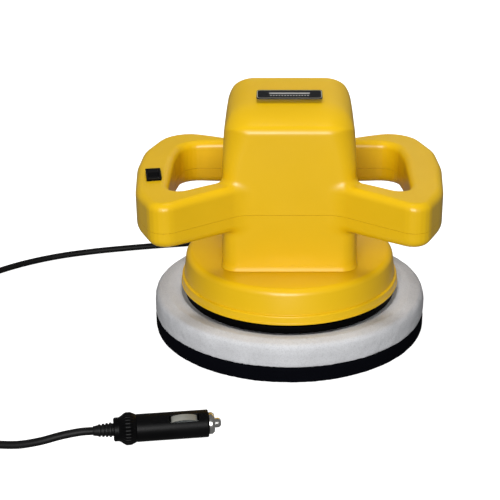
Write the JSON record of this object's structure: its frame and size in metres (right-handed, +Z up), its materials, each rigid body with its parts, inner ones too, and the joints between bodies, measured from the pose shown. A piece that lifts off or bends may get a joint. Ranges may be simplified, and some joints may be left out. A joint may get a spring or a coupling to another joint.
{
  "type": "car polisher",
  "caption": "Twelve-volt random-orbit car polisher: yellow housing with two loop handles on a round base cover, two-layer foam pad, and a cord ending in an accessory-socket plug.",
  "frame": {"origin": "centre of the pad's working face, where the polisher stands", "axes": "+Z up, +X through the right handle, -Y is the front with the sloped plate"},
  "size_m": [0.4963, 0.3922, 0.213],
  "materials": {
    "shell_plastic": "semi-gloss moulded, fine satin texture",
    "black_plastic": "moulded, satin",
    "label_plate": "plain printed plate",
    "white_foam": "open-cell polishing foam",
    "black_foam": "soft open-cell finishing foam",
    "hook_fabric": "hook-and-loop",
    "bright_steel": "ground",
    "zinc_plate": "zinc plated",
    "nickel_plate": "nickel plated",
    "copper_wire": "enamelled copper",
    "ferrite": "sintered ferrite",
    "carbon": "pressed carbon",
    "cast_alloy": "as cast",
    "cord_rubber": "soft jacket",
    "red_wire": "wire insulation",
    "black_wire": "wire insulation",
    "fan_plastic": "moulded nylon",
    "fuse_glass": "glass tube"
  },
  "bodies": {
    "housing": {"upper_housing": "shell_plastic", "lower_housing": "shell_plastic", "base_cover": "shell_plastic", "switch_body": "black_plastic", "motor_end_cap": "black_plastic", "plug_barrel": "black_plastic", "cord_tie": "black_plastic", "name_plate": "label_plate", "motor_bearing_lower": "bright_steel", "motor_bearing_upper": "bright_steel", "brush_spring_1": "bright_steel", "brush_spring_2": "bright_steel", "plug_tip_spring": "bright_steel", "handle_screw_1": "zinc_plate", "handle_screw_2": "zinc_plate", "handle_screw_3": "zinc_plate", "handle_screw_4": "zinc_plate", "cover_screw_1": "zinc_plate", "cover_screw_2": "zinc_plate", "cover_screw_3": "zinc_plate", "cover_screw_4": "zinc_plate", "motor_can": "zinc_plate", "motor_mount_plate": "zinc_plate", "brush_holder_1": "zinc_plate", "brush_holder_2": "zinc_plate", "plug_ring_nut": "nickel_plate", "magnet_1": "ferrite", "magnet_2": "ferrite", "strain_relief": "cord_rubber", "cord_rear_run": "cord_rubber", "cord_coil": "cord_rubber", "cord_front_run": "cord_rubber", "plug_strain_relief": "cord_rubber", "plug_grip": "cord_rubber", "lead_supply": "red_wire", "lead_motor": "black_wire"},
    "drive": {"motor_shaft": "bright_steel", "armature_core": "bright_steel", "winding_lower": "copper_wire", "winding_upper": "copper_wire", "commutator": "copper_wire", "cooling_fan": "fan_plastic", "eccentric_hub": "cast_alloy", "grub_screw": "bright_steel", "counterweight": "cast_alloy", "pad_bearing_inner": "bright_steel", "retaining_washer": "zinc_plate", "pad_screw": "zinc_plate"},
    "pad": {"backing_plate": "black_plastic", "hook_disc": "hook_fabric", "white_foam_pad": "white_foam", "black_foam_pad": "black_foam", "pad_bearing_outer": "bright_steel"},
    "rocker": {"switch_rocker": "black_plastic"},
    "brush_left": {"carbon_brush_1": "carbon"},
    "brush_right": {"carbon_brush_2": "carbon"},
    "tip": {"plug_tip": "nickel_plate", "plug_fuse": "fuse_glass"},
    "contact_upper": {"plug_contact_1": "nickel_plate"},
    "contact_lower": {"plug_contact_2": "nickel_plate"}
  },
  "joints": [
    {"name": "drive_spin", "type": "hinge", "parent": "housing", "child": "drive", "pos_m": [0, 0.003, 0.12], "axis": [0, 0, 1], "continuous": true},
    {"name": "pad_spin", "type": "hinge", "parent": "drive", "child": "pad", "pos_m": [0, 0, 0.0312], "axis": [0, 0, 1], "continuous": true},
    {"name": "rocker_tilt", "type": "hinge", "parent": "housing", "child": "rocker", "pos_m": [-0.115, -0.021, 0.145], "axis": [0.9877, 0.1564, 0], "range_deg": [-14, 0]},
    {"name": "brush_left_slide", "type": "slide", "parent": "housing", "child": "brush_left", "axis": [-1, 0, 0], "range_m": [0, 0.002], "stiffness_N_per_m": 60, "springref_m": -0.01, "deforming": ["brush_spring_1"]},
    {"name": "brush_right_slide", "type": "slide", "parent": "housing", "child": "brush_right", "axis": [1, 0, 0], "range_m": [0, 0.002], "stiffness_N_per_m": 60, "springref_m": -0.01, "deforming": ["brush_spring_2"]},
    {"name": "plug_tip_slide", "type": "slide", "parent": "housing", "child": "tip", "axis": [-0.9875, -0.1564, 0.0175], "range_m": [0, 0.003], "stiffness_N_per_m": 600, "springref_m": -0.004, "deforming": ["plug_tip_spring"]},
    {"name": "contact_upper_slide", "type": "slide", "parent": "housing", "child": "contact_upper", "axis": [-0.0909, 0.4765, -0.8745], "range_m": [0, 0.0015], "stiffness_N_per_m": 1500, "springref_m": -0.0015},
    {"name": "contact_lower_slide", "type": "slide", "parent": "housing", "child": "contact_lower", "axis": [0.0909, -0.4765, 0.8745], "range_m": [0, 0.0015], "stiffness_N_per_m": 1500, "springref_m": -0.0015}
  ]
}
